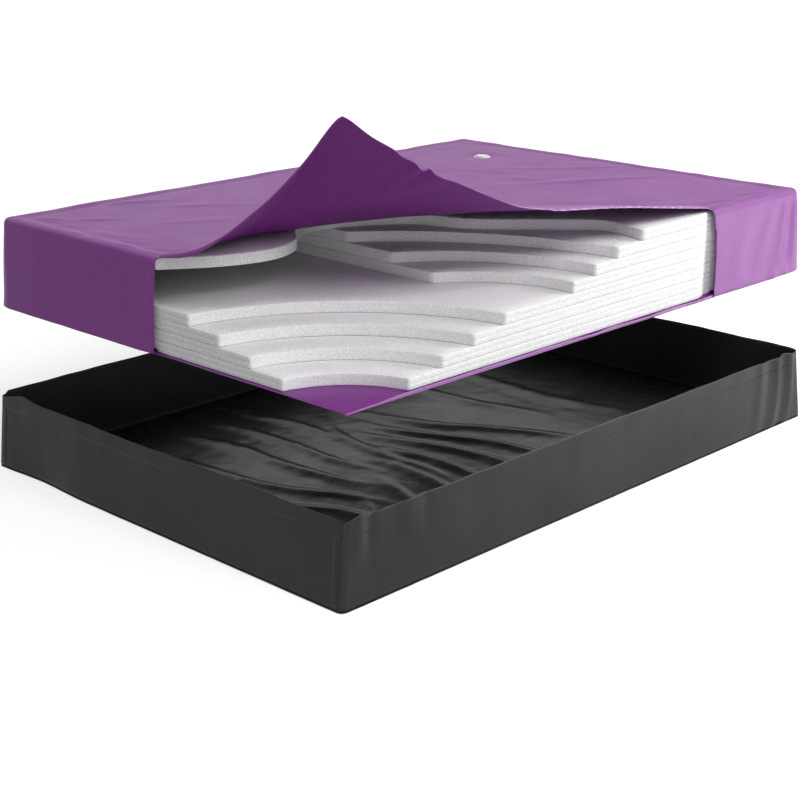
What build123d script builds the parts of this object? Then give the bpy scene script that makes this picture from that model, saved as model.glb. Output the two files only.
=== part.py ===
"""Cutaway water mattress, lifted above the open tray of its safety liner.

Millimetres, +Z up. The origin is the middle of the liner's footprint on the floor.
+Y is the head of the bed and -Y the foot. The front corner, at +X and -Y, is the one that is cut open.
"""
from math import acos, atan2, cos, hypot, sin
import os

from build123d import *

os.makedirs("parts", exist_ok=True)

# Mattress
mattress_width = 1524
mattress_length = 2134
mattress_raised = 526  # underside above the floor, as displayed
vinyl_thickness = 1.5
edge_radius = 24  # rolled edge between a wall and the sheets
corner_extra = 10  # by which the upright corners are rounder than the rolled edges

# Part cut open, measured along each side from the front corner
cut_width = 762
cut_length = 1631

# Fiber layers
lower_layer_count = 4
layer_thickness = 34
fiber_setback = 4  # from the outer face of the vinyl

# Steps cut into the fiber at the front corner
first_arc_radius = 237
arc_step = 127.5
upper_stack_setback = 723  # upright face of the upper stack, from the foot

# Corner lap strips, on bladder and liner
lap_width = 22
lap_thickness = 1

# Fill valve, in the top sheet near the head end
valve_from_side = 335
valve_from_head = 267
flange_radius = 31
flange_thickness = 1.6
neck_bore_radius = 13
neck_wall = 3
neck_depth = 24
ledge_width = 2.5
ledge_thickness = 2
plug_clearance = 0.1
plug_height = 9
plug_grip_radius = 4
plug_grip_height = 3
washer_radius = 20
washer_thickness = 1.2
cap_radius = 22
cap_thickness = 3.4
cap_recess_radius = 16
cap_recess_depth = 2
cap_grip_width = 4
cap_stem_length = 7
cap_thread_depth = 0.5
cap_thread_pitch = 2.5
stem_clearance = 0.3
rim_round = 0.6

# Safety liner
liner_room = 23.5  # between the lowered mattress and each wall
liner_height = 245
liner_thickness = 1.5
liner_floor_height = 10  # height of the loosely wrinkled floor film
liner_corner_radius = 20
hem_height = 50
hem_thickness = 1.2

# Turned-back corner of the top sheet
flap_rise = 422  # tip above the top of the mattress
fold_radius_share = 0.45  # of the arc that would reach the free edge on its own

# One overrun for every cut
overrun = 5

# Points on the fold and on the free edge of the flap, from the foot wall round to the right wall.
# Shares of the cut's width, its length and the rise of the tip: fold x, fold y, edge x, edge y, edge rise.
flap_shares = (
    (0.000, 0.018, 0.045, 0.002, 0.012),
    (-0.020, 0.079, 0.262, 0.016, 0.121),
    (-0.055, 0.144, 0.425, 0.041, 0.332),
    (-0.068, 0.203, 0.575, 0.074, 0.600),
    (-0.062, 0.249, 0.740, 0.118, 1.000),
    (-0.050, 0.340, 0.822, 0.272, 0.610),
    (-0.040, 0.432, 0.875, 0.399, 0.385),
    (0.010, 0.536, 0.915, 0.523, 0.262),
    (0.120, 0.654, 0.955, 0.654, 0.190),
    (0.290, 0.779, 0.985, 0.765, 0.140),
    (0.560, 0.896, 0.996, 0.870, 0.080),
    (0.880, 0.985, 0.999, 0.962, 0.020),
)

# Wavy front edge of the top fiber layer, as shares of the cut's width and length
top_layer_shares = (
    (0.142, 0.096),
    (0.197, 0.188),
    (0.144, 0.268),
    (0.010, 0.326),
    (-0.059, 0.397),
    (-0.026, 0.465),
    (0.131, 0.574),
    (0.367, 0.618),
    (0.604, 0.718),
    (0.782, 0.782),
)
top_layer_foot_share = 0.006  # of the cut's width, on the foot side
top_layer_right_share = 0.764  # of the cut's length, on the right side

# Arcs cut into the stacks. An upper arc's shares are of the cut's width and of its length behind the
# upright face: left end x, middle x, middle y, right end y.
lower_arc_middle_share = 0.94  # middle of a lower arc, of the radius at its ends
upper_arc_shares = (
    (0.512, 0.676, 0.150, 0.215),
    (0.290, 0.577, 0.238, 0.328),
    (0.037, 0.450, 0.298, 0.446),
)

half_width = mattress_width / 2
half_length = mattress_length / 2
foot_wall_end = half_width - cut_width
right_wall_end = cut_length - half_length
upper_stack_front = upper_stack_setback - half_length
corner_radius = edge_radius + corner_extra
layer_count = lower_layer_count + len(upper_arc_shares) + 1
stack_height = layer_count * layer_thickness
mattress_height = stack_height + 2 * vinyl_thickness
mattress_top = mattress_raised + mattress_height
fiber_bottom = mattress_raised + vinyl_thickness
neck_radius = neck_bore_radius + neck_wall
flat_width = mattress_width - 2 * edge_radius
flat_length = mattress_length - 2 * edge_radius
valve_center = (valve_from_side - half_width, half_length - valve_from_head)
liner_width = mattress_width + 2 * (liner_room + liner_thickness)
liner_length = mattress_length + 2 * (liner_room + liner_thickness)


def in_cut(x_share, y_share):
    """Point in plan, from shares of the width and length that are cut open."""
    return (foot_wall_end + x_share * cut_width, y_share * cut_length - half_length)


def finish(piece, name):
    """Label a finished piece and write it."""
    piece.part.label = name
    export_step(piece.part, f"parts/{name}.step")


def rounded_block(width, length, height, bottom, plan_radius, rolled_radius):
    """Block with round upright corners and rolled top and bottom edges."""
    with BuildPart() as block:
        with BuildSketch(Plane.XY.offset(bottom)):
            RectangleRounded(width, length, plan_radius)
        extrude(amount=height)
        rims = block.faces().filter_by(Axis.Z).edges()
        fillet(rims, radius=rolled_radius)
    return block.part


def wall_band():
    """Band of vinyl round the mattress, rolled over at the top and the bottom."""
    outer = rounded_block(
        mattress_width, mattress_length, mattress_height, mattress_raised, corner_radius, edge_radius
    )
    inner = rounded_block(
        mattress_width - 2 * vinyl_thickness,
        mattress_length - 2 * vinyl_thickness,
        mattress_height - 2 * vinyl_thickness,
        fiber_bottom,
        corner_radius - vinyl_thickness,
        edge_radius - vinyl_thickness,
    )
    with BuildPart() as band:
        add(outer)
        add(inner, mode=Mode.SUBTRACT)
        with BuildSketch(Plane.XY.offset(mattress_raised - overrun)):
            RectangleRounded(flat_width, flat_length, corner_radius - edge_radius)
        extrude(amount=mattress_height + 2 * overrun, mode=Mode.SUBTRACT)
    return band.part


def wall_panel(band, outline, name):
    """One wall panel: the stretch of the band inside an outline in plan."""
    with BuildPart() as panel:
        with BuildSketch(Plane.XY.offset(mattress_raised - overrun)):
            with BuildLine():
                Polyline(*outline, close=True)
            make_face()
        extrude(amount=mattress_height + 2 * overrun)
        add(band, mode=Mode.INTERSECT)
    finish(panel, name)


def bladder_walls():
    """Four wall panels, mitred at the corners; two of them stop short at the cut."""
    band = wall_band()
    out_x = half_width + overrun
    out_y = half_length + overrun
    in_x = half_width - edge_radius - overrun
    in_y = half_length - edge_radius - overrun
    foot = ((-out_x, -out_y), (foot_wall_end, -out_y), (foot_wall_end, -in_y), (-in_x, -in_y))
    head = ((-out_x, out_y), (out_x, out_y), (in_x, in_y), (-in_x, in_y))
    left = ((-out_x, -out_y), (-out_x, out_y), (-in_x, in_y), (-in_x, -in_y))
    right = ((out_x, right_wall_end), (out_x, out_y), (in_x, in_y), (in_x, right_wall_end))
    wall_panel(band, foot, "bladder_foot_wall")
    wall_panel(band, head, "bladder_head_wall")
    wall_panel(band, left, "bladder_left_wall")
    wall_panel(band, right, "bladder_right_wall")


def bladder_corner_laps():
    """Welded lap strips beside the three corners that are whole."""
    strip_height = mattress_height - 2 * edge_radius
    strip_x = half_width - corner_radius - lap_width / 2
    strip_y = half_length + lap_thickness / 2
    with BuildPart() as laps:
        with BuildSketch(Plane.XY.offset(mattress_raised + edge_radius)):
            with Locations((-strip_x, -strip_y), (-strip_x, strip_y), (strip_x, strip_y)):
                Rectangle(lap_width, lap_thickness)
        extrude(amount=strip_height)
    finish(laps, "bladder_corner_laps")


def bladder_bottom_sheet():
    """Bottom sheet, flat to its edge where the walls are cut away."""
    with BuildPart() as sheet:
        with BuildSketch(Plane.XY.offset(mattress_raised)):
            RectangleRounded(flat_width, flat_length, corner_radius - edge_radius)
            with BuildLine():
                Polyline(
                    (foot_wall_end, -half_length),
                    (half_width, -half_length),
                    (half_width, right_wall_end),
                    (foot_wall_end, right_wall_end),
                    close=True,
                )
            make_face()
        extrude(amount=vinyl_thickness)
    finish(sheet, "bladder_bottom_sheet")


def fold_points():
    """Fold line of the flap in plan, from the foot side to the right side."""
    return [in_cut(row[0], row[1]) for row in flap_shares]


def bladder_top_sheet():
    """Top sheet up to the fold, with the hole for the valve's neck."""
    points = fold_points()
    with BuildPart() as sheet:
        with BuildSketch(Plane.XY.offset(mattress_top - vinyl_thickness)):
            RectangleRounded(flat_width, flat_length, corner_radius - edge_radius)
            with BuildLine():
                Polyline(
                    *points,
                    (half_width + overrun, points[-1][1]),
                    (half_width + overrun, -half_length - overrun),
                    (points[0][0], -half_length - overrun),
                    close=True,
                )
            make_face(mode=Mode.SUBTRACT)
            with Locations(valve_center):
                Circle(neck_radius + stem_clearance, mode=Mode.SUBTRACT)
        extrude(amount=vinyl_thickness)
    finish(sheet, "bladder_top_sheet")


def flap_section(row):
    """One upright section of the flap: an arc that leaves the fold level, then a straight run."""
    fold_x, fold_y = in_cut(row[0], row[1])
    edge_x, edge_y = in_cut(row[2], row[3])
    rise = row[4] * flap_rise
    reach = hypot(edge_x - fold_x, edge_y - fold_y)
    radius = fold_radius_share * (reach * reach + rise * rise) / (2 * rise)
    tilt = atan2(reach, radius - rise)
    sweep = tilt - acos(radius / hypot(reach, radius - rise))
    inner_radius = radius - vinyl_thickness
    lift = vinyl_thickness * cos(sweep)
    drop = vinyl_thickness * sin(sweep)
    along = Vector(edge_x - fold_x, edge_y - fold_y, 0)
    across = along.cross(Vector(0, 0, 1))
    plane = Plane(
        origin=(fold_x, fold_y, mattress_top - vinyl_thickness), x_dir=along, z_dir=across
    )
    with BuildSketch(plane) as section:
        with BuildLine():
            outer_arc = ThreePointArc(
                (0, 0),
                (radius * sin(sweep / 2), radius - radius * cos(sweep / 2)),
                (radius * sin(sweep), radius - radius * cos(sweep)),
            )
            outer_run = Line(outer_arc @ 1, (reach, rise))
            end = Line(outer_run @ 1, (reach - drop, rise + lift))
            inner_arc = ThreePointArc(
                (inner_radius * sin(sweep), radius - inner_radius * cos(sweep)),
                (inner_radius * sin(sweep / 2), radius - inner_radius * cos(sweep / 2)),
                (0, vinyl_thickness),
            )
            Line(end @ 1, inner_arc @ 0)
            Line(inner_arc @ 1, outer_arc @ 0)
        make_face()
    return section.sketch


def bladder_top_flap():
    """Front corner of the top sheet, turned back and up to its tip."""
    sections = [flap_section(row) for row in flap_shares]
    with BuildPart() as flap:
        loft(sections, ruled=True)
    finish(flap, "bladder_top_flap")


def bladder_interior():
    """Space inside the vinyl, square where the walls are cut away."""
    setback = fiber_setback
    space = rounded_block(
        mattress_width - 2 * setback,
        mattress_length - 2 * setback,
        stack_height,
        fiber_bottom,
        corner_radius - setback,
        edge_radius - setback,
    )
    with BuildPart() as interior:
        add(space)
        with BuildSketch(Plane.XY.offset(fiber_bottom)):
            with BuildLine():
                Polyline(
                    (foot_wall_end, -half_length + setback),
                    (half_width - setback, -half_length + setback),
                    (half_width - setback, right_wall_end),
                    (foot_wall_end, right_wall_end),
                    close=True,
                )
            make_face()
        extrude(amount=stack_height)
    return interior.part


def fiber_layer(interior, index, cut):
    """One fiber layer: a slab of the interior with its front cut away."""
    bottom = fiber_bottom + index * layer_thickness
    with BuildPart() as layer:
        with BuildSketch(Plane.XY.offset(bottom)):
            Rectangle(mattress_width, mattress_length)
            make_face(cut.edges(), mode=Mode.SUBTRACT)
            if index == layer_count - 1:
                with Locations(valve_center):
                    Circle(neck_radius + stem_clearance, mode=Mode.SUBTRACT)
        extrude(amount=layer_thickness)
        add(interior, mode=Mode.INTERSECT)
    finish(layer, f"fiber_layer_{index + 1}")


def lower_cut(index):
    """Cut of a lower layer: an arc round the front corner, a step wider on each layer."""
    radius = first_arc_radius + index * arc_step
    middle = lower_arc_middle_share * radius
    out_x = half_width + overrun
    out_y = -half_length - overrun
    start = (half_width - radius, -half_length)
    arc_middle = Vector(half_width, -half_length) + Vector(-1, 1).normalized() * middle
    end = (half_width, -half_length + radius)
    with BuildLine() as cut:
        ThreePointArc(start, arc_middle, end)
        Polyline(end, (out_x, end[1]), (out_x, out_y), (start[0], out_y), start)
    return cut


def upper_cut(row):
    """Cut of an upper layer: everything before the upright face, and an arc on its right."""
    left_x, middle_x, middle_y, right_y = row
    open_length = cut_length - upper_stack_setback
    start = (foot_wall_end + left_x * cut_width, upper_stack_front)
    arc_middle = (foot_wall_end + middle_x * cut_width, upper_stack_front + middle_y * open_length)
    end = (half_width, upper_stack_front + right_y * open_length)
    out_x = half_width + overrun
    out_y = -half_length - overrun
    with BuildLine() as cut:
        ThreePointArc(start, arc_middle, end)
        Polyline(
            end, (out_x, end[1]), (out_x, out_y), (-out_x, out_y), (-out_x, upper_stack_front), start
        )
    return cut


def top_cut():
    """Cut of the top layer: a wavy line from the foot side to the right side."""
    start = (foot_wall_end + top_layer_foot_share * cut_width, -half_length)
    end = (half_width, top_layer_right_share * cut_length - half_length)
    out_x = half_width + overrun
    out_y = -half_length - overrun
    with BuildLine() as cut:
        Spline(start, *[in_cut(*row) for row in top_layer_shares], end)
        Polyline(end, (out_x, end[1]), (out_x, out_y), (start[0], out_y), start)
    return cut


def fiber_layers():
    """All the fiber layers, from the bottom up."""
    interior = bladder_interior()
    for index in range(lower_layer_count):
        fiber_layer(interior, index, lower_cut(index))
    for step, row in enumerate(upper_arc_shares):
        fiber_layer(interior, lower_layer_count + step, upper_cut(row))
    fiber_layer(interior, layer_count - 1, top_cut())


def valve_flange():
    """Flange on the top sheet, with the neck that hangs below it and the ledge under the plug."""
    with BuildPart() as flange:
        with BuildSketch(Plane.XY.offset(mattress_top)):
            with Locations(valve_center):
                Circle(flange_radius)
                Circle(neck_bore_radius, mode=Mode.SUBTRACT)
        extrude(amount=flange_thickness)
        with BuildSketch(Plane.XY.offset(mattress_top)):
            with Locations(valve_center):
                Circle(neck_radius)
                Circle(neck_bore_radius, mode=Mode.SUBTRACT)
        extrude(amount=-neck_depth)
        with BuildSketch(Plane.XY.offset(mattress_top - neck_depth)):
            with Locations(valve_center):
                Circle(neck_radius)
                Circle(neck_bore_radius - ledge_width, mode=Mode.SUBTRACT)
        extrude(amount=ledge_thickness)
        rim = flange.edges().filter_by(GeomType.CIRCLE).sort_by(SortBy.RADIUS)[-2:].sort_by(Axis.Z)[-1]
        fillet(rim, radius=rim_round)
    finish(flange, "valve_flange")


def valve_plug():
    """Stopper that sits on the ledge of the neck, with a knob to pull it by."""
    seat = mattress_top - neck_depth + ledge_thickness
    plug_radius = neck_bore_radius - plug_clearance
    with BuildPart() as plug:
        with BuildSketch(Plane.XY.offset(seat)):
            with Locations(valve_center):
                Circle(plug_radius)
        extrude(amount=plug_height)
        rims = plug.edges().filter_by(GeomType.CIRCLE)
        chamfer(rims, length=rim_round)
        with BuildSketch(Plane.XY.offset(seat + plug_height)):
            with Locations(valve_center):
                Circle(plug_grip_radius)
        extrude(amount=plug_grip_height)
        fillet(plug.edges().sort_by(Axis.Z)[-1], radius=rim_round)
    finish(plug, "valve_plug")


def valve_washer():
    """Flat sealing washer between the flange and the cap."""
    with BuildPart() as washer:
        with BuildSketch(Plane.XY.offset(mattress_top + flange_thickness)):
            with Locations(valve_center):
                Circle(washer_radius)
                Circle(neck_bore_radius, mode=Mode.SUBTRACT)
        extrude(amount=washer_thickness)
    finish(washer, "valve_washer")


def valve_cap():
    """Screw cap: a low disc with a recessed grip, and a stem with thread ridges in the neck."""
    base = mattress_top + flange_thickness + washer_thickness
    stem_radius = neck_bore_radius - stem_clearance
    ridge_count = int(cap_stem_length / cap_thread_pitch)
    with BuildPart() as cap:
        with BuildSketch(Plane.XY.offset(base)):
            with Locations(valve_center):
                Circle(cap_radius)
        extrude(amount=cap_thickness)
        fillet(cap.edges().sort_by(Axis.Z)[-1], radius=rim_round)
        with BuildSketch(Plane.XY.offset(base + cap_thickness)):
            with Locations(valve_center):
                Circle(cap_recess_radius)
                Rectangle(cap_grip_width, 2 * cap_recess_radius, mode=Mode.SUBTRACT)
        extrude(amount=-cap_recess_depth, mode=Mode.SUBTRACT)
        with BuildSketch(Plane.XY.offset(base)):
            with Locations(valve_center):
                Circle(stem_radius - cap_thread_depth)
        extrude(amount=-cap_stem_length)
        for ridge in range(ridge_count):
            with BuildSketch(Plane.XY.offset(base - (ridge + 1) * cap_thread_pitch)):
                with Locations(valve_center):
                    Circle(stem_radius)
            extrude(amount=cap_thread_pitch / 2)
    finish(cap, "valve_cap")


def liner_floor():
    """Floor of the liner, as high as its loose wrinkles."""
    with BuildPart() as floor:
        with BuildSketch():
            RectangleRounded(liner_width, liner_length, liner_corner_radius)
        extrude(amount=liner_floor_height)
    finish(floor, "liner_floor")


def liner_walls():
    """Four standing walls, mitred at the corners."""
    out_x = liner_width / 2 + overrun
    out_y = liner_length / 2 + overrun
    in_x = liner_width / 2 - liner_corner_radius
    in_y = liner_length / 2 - liner_corner_radius
    outlines = {
        "liner_foot_wall": ((-out_x, -out_y), (out_x, -out_y), (in_x, -in_y), (-in_x, -in_y)),
        "liner_head_wall": ((-out_x, out_y), (out_x, out_y), (in_x, in_y), (-in_x, in_y)),
        "liner_left_wall": ((-out_x, -out_y), (-out_x, out_y), (-in_x, in_y), (-in_x, -in_y)),
        "liner_right_wall": ((out_x, -out_y), (out_x, out_y), (in_x, in_y), (in_x, -in_y)),
    }
    for name, outline in outlines.items():
        with BuildPart() as wall:
            with BuildSketch(Plane.XY.offset(liner_floor_height)):
                RectangleRounded(liner_width, liner_length, liner_corner_radius)
                RectangleRounded(
                    liner_width - 2 * liner_thickness,
                    liner_length - 2 * liner_thickness,
                    liner_corner_radius - liner_thickness,
                    mode=Mode.SUBTRACT,
                )
                with BuildLine():
                    Polyline(*outline, close=True)
                make_face(mode=Mode.INTERSECT)
            extrude(amount=liner_height - liner_floor_height)
        finish(wall, name)


def liner_rim_hem():
    """Hem turned down outside the rim: one strip along each wall."""
    strip_x = liner_width / 2 + hem_thickness / 2
    strip_y = liner_length / 2 + hem_thickness / 2
    straight_x = liner_width - 2 * liner_corner_radius
    straight_y = liner_length - 2 * liner_corner_radius
    with BuildPart() as hem:
        with BuildSketch(Plane.XY.offset(liner_height - hem_height)):
            with Locations((0, -strip_y), (0, strip_y)):
                Rectangle(straight_x, hem_thickness)
            with Locations((-strip_x, 0), (strip_x, 0)):
                Rectangle(hem_thickness, straight_y)
        extrude(amount=hem_height)
    finish(hem, "liner_rim_hem")


def liner_corner_laps():
    """Welded lap strips beside the four corners, from the floor up to the hem."""
    strip_x = liner_width / 2 - liner_corner_radius - lap_width / 2
    strip_y = liner_length / 2 + lap_thickness / 2
    with BuildPart() as laps:
        with BuildSketch(Plane.XY.offset(liner_floor_height)):
            with Locations(
                (-strip_x, -strip_y), (strip_x, -strip_y), (-strip_x, strip_y), (strip_x, strip_y)
            ):
                Rectangle(lap_width, lap_thickness)
        extrude(amount=liner_height - hem_height - liner_floor_height)
    finish(laps, "liner_corner_laps")


bladder_walls()
bladder_corner_laps()
bladder_bottom_sheet()
bladder_top_sheet()
bladder_top_flap()
fiber_layers()
valve_flange()
valve_plug()
valve_washer()
valve_cap()
liner_floor()
liner_walls()
liner_rim_hem()
liner_corner_laps()
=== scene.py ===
"""Looks of the cutaway water mattress and its safety liner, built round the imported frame.

Metres, +Z up, in the part's own frame. +Y is the head of the bed; the cut corner is at +X and -Y.
Soft shapes are grids of points, moved by a few smooth functions and given their thickness at the end.
"""
from math import acos, atan2, copysign, cos, dist, exp, hypot, pi, radians, sin, sqrt

import bmesh
import bpy
import numpy as np
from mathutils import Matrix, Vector, noise
from mathutils.geometry import delaunay_2d_cdt


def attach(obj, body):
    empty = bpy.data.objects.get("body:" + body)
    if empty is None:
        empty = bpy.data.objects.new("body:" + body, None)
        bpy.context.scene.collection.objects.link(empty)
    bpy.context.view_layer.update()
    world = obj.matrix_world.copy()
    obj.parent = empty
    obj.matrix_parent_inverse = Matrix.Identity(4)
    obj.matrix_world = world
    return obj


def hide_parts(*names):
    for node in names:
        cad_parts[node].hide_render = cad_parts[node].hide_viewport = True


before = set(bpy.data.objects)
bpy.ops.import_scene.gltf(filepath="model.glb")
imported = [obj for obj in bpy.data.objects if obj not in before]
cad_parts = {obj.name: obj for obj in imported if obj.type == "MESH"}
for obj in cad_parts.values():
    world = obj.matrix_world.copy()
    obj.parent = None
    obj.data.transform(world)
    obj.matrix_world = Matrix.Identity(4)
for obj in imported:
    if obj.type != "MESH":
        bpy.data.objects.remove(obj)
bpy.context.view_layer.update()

# Sizes, as in the part's source
mattress_width = 1.524
mattress_length = 2.134
mattress_raised = 0.526
mattress_height = 0.275
vinyl_thickness = 0.0015
edge_radius = 0.024
corner_radius = 0.034
cut_width = 0.762
cut_length = 1.631
lower_layer_count = 4
layer_thickness = 0.034
fiber_setback = 0.004
first_arc_radius = 0.237
arc_step = 0.1275
upper_stack_setback = 0.723
lap_width = 0.022
lap_thickness = 0.001
fold_radius_share = 0.45
lower_arc_middle_share = 0.94
upper_arc_shares = (
    (0.512, 0.676, 0.15, 0.215),
    (0.29, 0.577, 0.238, 0.328),
    (0.037, 0.45, 0.298, 0.446),
)
top_layer_shares = (
    (0.142, 0.096), (0.197, 0.188), (0.144, 0.268), (0.01, 0.326), (-0.059, 0.397),
    (-0.026, 0.465), (0.131, 0.574), (0.367, 0.618), (0.604, 0.718), (0.782, 0.782),
)
top_layer_foot_share = 0.006
top_layer_right_share = 0.764
valve_from_side = 0.335
valve_from_head = 0.267
liner_width = 1.574
liner_length = 2.184
liner_height = 0.245
liner_floor_height = 0.01
liner_corner_radius = 0.02
hem_height = 0.05

half_width = mattress_width / 2
half_length = mattress_length / 2
mattress_top = mattress_raised + mattress_height
fiber_bottom = mattress_raised + vinyl_thickness
fiber_half_x = half_width - fiber_setback
fiber_half_y = half_length - fiber_setback
foot_wall_end = half_width - cut_width
right_wall_end = cut_length - half_length
upper_stack_front = upper_stack_setback - half_length
valve_center = (valve_from_side - half_width, half_length - valve_from_head)
flat_x = half_width - edge_radius
flat_y = half_length - edge_radius
small_corner = corner_radius - edge_radius
liner_half_x = liner_width / 2
liner_half_y = liner_length / 2


# Helpers for smooth shapes

def smooth(edge0, edge1, value):
    """0 below edge0, 1 above edge1, and a smooth rise between them."""
    t = min(1.0, max(0.0, (value - edge0) / (edge1 - edge0)))
    return t * t * (3 - 2 * t)


def bell(value, middle, width):
    """A smooth hump of height 1."""
    return exp(-((value - middle) / width) ** 2)


def bells(value, humps):
    """Sum of smooth humps, each with its place, height and half width."""
    return sum(height * bell(value, place, half) for place, height, half in humps)


def wave(x, y, z, scale, seed):
    """Smooth noise from -1 to 1, with features of about scale metres."""
    place = (x / scale + seed * 7.31, y / scale - seed * 3.17, z / scale + seed * 1.93)
    return noise.noise(Vector(place))


def beside(x, y, start, end):
    """Share of a straight stretch at which a point lies, and its signed distance from it."""
    (ax, ay), (bx, by) = start, end
    dx, dy = bx - ax, by - ay
    size = dx * dx + dy * dy
    return ((x - ax) * dx + (y - ay) * dy) / size, ((x - ax) * dy - (y - ay) * dx) / sqrt(size)


# Helpers for lines

def spline(points, per_span):
    """A smooth line through points, with per_span steps between each two."""
    pts = [np.array(p, float) for p in points]
    ends = [2 * pts[0] - pts[1], *pts, 2 * pts[-1] - pts[-2]]
    out = []
    for i in range(1, len(ends) - 2):
        p0, p1, p2, p3 = ends[i - 1:i + 3]
        for k in range(per_span):
            t = k / per_span
            square = (2 * p0 - 5 * p1 + 4 * p2 - p3) * t * t
            cube = (3 * p1 - p0 - 3 * p2 + p3) * t ** 3
            out.append(0.5 * (2 * p1 + (p2 - p0) * t + square + cube))
    out.append(pts[-1])
    return np.array(out)


def lengths(points):
    """Length along a line up to each of its points."""
    steps = np.linalg.norm(np.diff(points, axis=0), axis=1)
    return np.concatenate([[0], np.cumsum(steps)])


def at_length(points, along, where):
    """Points of a line at the lengths where."""
    return np.stack([np.interp(where, along, axis) for axis in points.T], axis=1)


def nearest_length(line, along, point):
    """Length along a line at its point nearest to another point."""
    return along[int(np.argmin(np.linalg.norm(line - np.array(point), axis=1)))]


def straight(start, end, facing, step):
    """Rows of x, y and outward direction along a straight run, without its end."""
    (x0, y0), (x1, y1) = start, end
    count = max(2, int(hypot(x1 - x0, y1 - y0) / step))
    shares = [k / count for k in range(count)]
    return [(x0 + (x1 - x0) * t, y0 + (y1 - y0) * t, *facing) for t in shares]


def turned(center, radius, start, end, count, with_end=False):
    """Rows of x, y and outward direction round a corner, from one angle in degrees to another."""
    rows = []
    for k in range(count + with_end):
        a = radians(start + (end - start) * k / count)
        nx, ny = cos(a), sin(a)
        rows.append((center[0] + radius * nx, center[1] + radius * ny, nx, ny))
    return rows


# Helpers for meshes

def in_scene(name, data):
    """A new object in the scene."""
    obj = bpy.data.objects.new(name, data)
    bpy.context.scene.collection.objects.link(obj)
    return obj


def make_object(name, verts, faces, materials, slots=()):
    """A smooth-shaded object in the scene, with the number of its material for each face."""
    mesh = bpy.data.meshes.new(name)
    mesh.from_pydata(verts, [], faces)
    mesh.validate()
    for m in materials:
        mesh.materials.append(m)
    if slots:
        mesh.polygons.foreach_set("material_index", slots)
    mesh.shade_smooth()
    mesh.update()
    return in_scene(name, mesh)


def grid_faces(rows, columns, closed=False, flip=False):
    """Faces of a grid whose vertices are numbered row by row."""
    faces = []
    last = columns if closed else columns - 1
    for r in range(rows - 1):
        for c in range(last):
            d = (c + 1) % columns
            quad = (r * columns + c, r * columns + d, (r + 1) * columns + d, (r + 1) * columns + c)
            faces.append(quad[::-1] if flip else quad)
    return faces


def grid_object(name, rows, material, closed=False):
    """An object from rows of points."""
    faces = grid_faces(len(rows), len(rows[0]), closed)
    return make_object(name, [p for row in rows for p in row], faces, [material])


def weld(obj, distance):
    """Join points that lie on each other, and drop the faces that this leaves without area."""
    mesh = bmesh.new()
    mesh.from_mesh(obj.data)
    bmesh.ops.remove_doubles(mesh, verts=mesh.verts, dist=distance)
    bmesh.ops.dissolve_degenerate(mesh, edges=mesh.edges, dist=distance / 4)
    mesh.to_mesh(obj.data)
    mesh.free()
    obj.data.update()


def thicken(obj, thickness, offset, inner_material=0, even=True):
    """Give a sheet its thickness: offset -1 is inwards, 1 is outwards and 0 is both ways."""
    mod = obj.modifiers.new("thickness", "SOLIDIFY")
    mod.thickness = thickness
    mod.offset = offset
    mod.use_even_offset = even
    mod.material_offset = inner_material


def dress(obj, body, slot_name, *nodes):
    """Hide the CAD nodes that a piece replaces and hang the piece on its body; slot_name is not used."""
    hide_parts(*nodes)
    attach(obj, body)


# Helpers for materials

def node(tree, kind, **values):
    """A shader node; a value whose name starts with in_ is an input."""
    n = tree.nodes.new("ShaderNode" + kind)
    for key, value in values.items():
        if key.startswith("in_"):
            n.inputs[key[3:].replace("_", " ")].default_value = value
        else:
            setattr(n, key, value)
    return n


def wire(tree, *pairs):
    """Link each output to its input."""
    for output, socket in pairs:
        tree.links.new(output, socket)


def color_of(tone):
    """Linear colour from the sRGB numbers of a picture editor."""
    shares = [c / 255 for c in tone]
    return (*(c / 12.92 if c <= 0.04045 else ((c + 0.055) / 1.055) ** 2.4 for c in shares), 1)


class Surface:
    """A material while it is put together; its textures read the place on the object."""

    def __init__(self, name, roughness, specular, sheen=0.0):
        self.material = bpy.data.materials.new(name)
        self.material.use_nodes = True
        self.tree = self.material.node_tree
        self.shader = self.tree.nodes["Principled BSDF"].inputs
        self.shader["Roughness"].default_value = roughness
        self.shader["Specular IOR Level"].default_value = specular
        self.shader["Sheen Weight"].default_value = sheen
        self.where = node(self.tree, "TexCoord").outputs["Object"]

    def noise(self, scale, detail, where=None, **values):
        """Noise with spots of about 1 / scale metres."""
        spots = node(self.tree, "TexNoise", in_Scale=scale, in_Detail=detail, **values)
        wire(self.tree, (where or self.where, spots.inputs["Vector"]))
        return spots.outputs["Fac"]

    def tint(self, tones, scale, detail=4.0, ends=(0.35, 0.65)):
        """Colour that wanders softly between two tones."""
        ramp = node(self.tree, "ValToRGB")
        for element, position, tone in zip(ramp.color_ramp.elements, ends, tones):
            element.position = position
            element.color = color_of(tone)
        wire(self.tree, (self.noise(scale, detail, in_Roughness=0.55), ramp.inputs["Fac"]))
        wire(self.tree, (ramp.outputs["Color"], self.shader["Base Color"]))

    def wear(self, marks, low, high):
        """Roughness that follows faint marks."""
        gloss = node(self.tree, "MapRange", in_To_Min=low, in_To_Max=high)
        wire(self.tree, (marks, gloss.inputs["Value"]))
        wire(self.tree, (gloss.outputs["Result"], self.shader["Roughness"]))

    def bump(self, *layers):
        """Bumps, each with its height output, strength and distance, one laid on the other."""
        last = None
        for height, strength, distance in layers:
            bump = node(self.tree, "Bump", in_Strength=strength, in_Distance=distance)
            wire(self.tree, (height, bump.inputs["Height"]))
            if last is not None:
                wire(self.tree, (last, bump.inputs["Normal"]))
            last = bump.outputs["Normal"]
        wire(self.tree, (last, self.shader["Normal"]))


# Materials

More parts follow.
